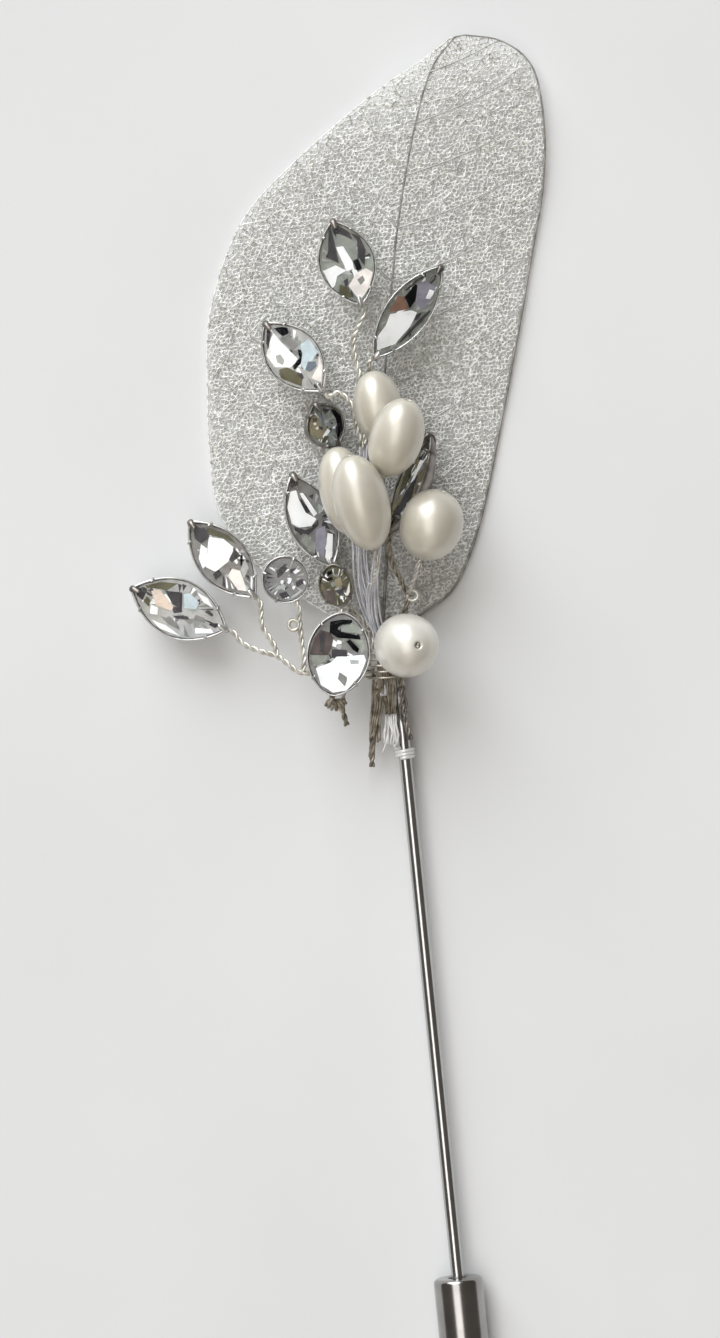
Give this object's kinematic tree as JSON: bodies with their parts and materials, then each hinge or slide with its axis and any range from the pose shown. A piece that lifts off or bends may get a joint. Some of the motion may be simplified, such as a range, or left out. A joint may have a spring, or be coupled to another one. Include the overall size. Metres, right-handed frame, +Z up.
{
  "type": "boutonniere",
  "caption": "Buttonhole pin: a silvered skeleton leaf with wired sprays of glass stones and pearls on a steel stick pin with a slide-on point guard.",
  "frame": {"origin": "middle of the lower face of the bounding box, on the table that the piece lies on", "axes": "+Y along the pin towards the leaf's tip, +Z up from the table, +X to the right as the piece is seen from above"},
  "size_m": [0.045, 0.1342, 0.0144],
  "materials": {
    "pin_steel": "polished",
    "guard_metal": "polished",
    "grip_nylon": "matt",
    "silvered_leaf": "silver paint with fine glitter",
    "cut_glass": "faceted, foiled on the back",
    "setting_silver": "bright silver plate",
    "pearl": "ivory nacre",
    "stem_wire": "silver-plated wire",
    "binding_wire": "slightly tarnished silver-plated wire"
  },
  "bodies": {
    "posy": {"pin": "pin_steel", "leaf": "silvered_leaf", "stone_1": "cut_glass", "setting_1": "setting_silver", "stone_2": "cut_glass", "setting_2": "setting_silver", "stone_3": "cut_glass", "setting_3": "setting_silver", "stone_4": "cut_glass", "setting_4": "setting_silver", "stone_5": "cut_glass", "setting_5": "setting_silver", "stone_6": "cut_glass", "setting_6": "setting_silver", "stone_7": "cut_glass", "setting_7": "setting_silver", "stone_8": "cut_glass", "setting_8": "setting_silver", "stone_9": "cut_glass", "setting_9": "setting_silver", "stone_10": "cut_glass", "setting_10": "setting_silver", "stone_11": "cut_glass", "setting_11": "setting_silver", "pearl_1": "pearl", "pearl_2": "pearl", "pearl_3": "pearl", "pearl_4": "pearl", "pearl_5": "pearl", "pearl_6": "pearl", "crystal_wire_1": "stem_wire", "crystal_wire_2": "stem_wire", "crystal_wire_3": "stem_wire", "pearl_wire_1": "stem_wire", "pearl_wire_2": "stem_wire", "mixed_wire": "stem_wire", "binding_wire": "binding_wire"},
    "guard": {"guard_cap": "guard_metal", "guard_grip": "grip_nylon"}
  },
  "joints": [
    {"name": "guard_slide", "type": "slide", "parent": "posy", "child": "guard", "axis": [0, -1, 0], "range_m": [0, 0.0105]}
  ]
}
